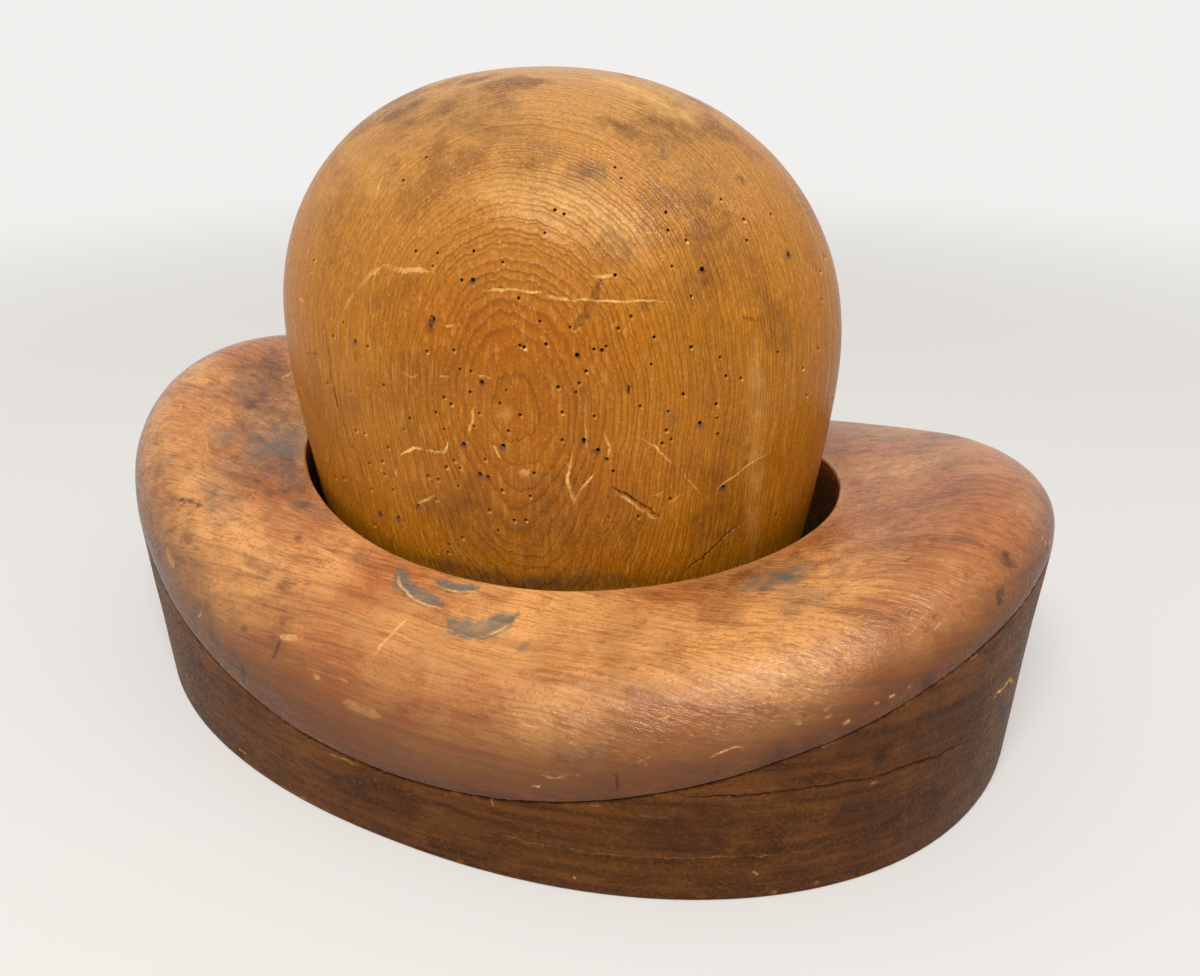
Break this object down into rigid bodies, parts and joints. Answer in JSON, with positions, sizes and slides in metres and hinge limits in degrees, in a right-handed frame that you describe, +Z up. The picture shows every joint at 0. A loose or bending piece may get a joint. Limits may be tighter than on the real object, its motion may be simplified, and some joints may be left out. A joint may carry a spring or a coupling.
{
  "type": "hat block",
  "caption": "Wooden hatter's block in two parts: an oval domed crown block standing in the oval opening of a saddle-shaped brim block with a rolled edge.",
  "frame": {"origin": "on the base plane, in the middle of the whole block's length and width", "axes": "+X along the brim block's long axis towards its fuller end, +Z up through the crown block, +Y away from the long side that faces the viewer"},
  "size_m": [0.3554, 0.262, 0.2198],
  "materials": {
    "brim_wood": "worn hand-rubbed wood, satin, stained and nicked",
    "crown_wood": "old varnished softwood, satin, with worm holes and scratches"
  },
  "bodies": {
    "brim": {"brim_block": "brim_wood"},
    "crown": {"crown_block": "crown_wood"}
  },
  "joints": [
    {"name": "crown_lift", "type": "slide", "parent": "brim", "child": "crown", "axis": [0, 0, 1], "range_m": [0, 0.12]}
  ]
}
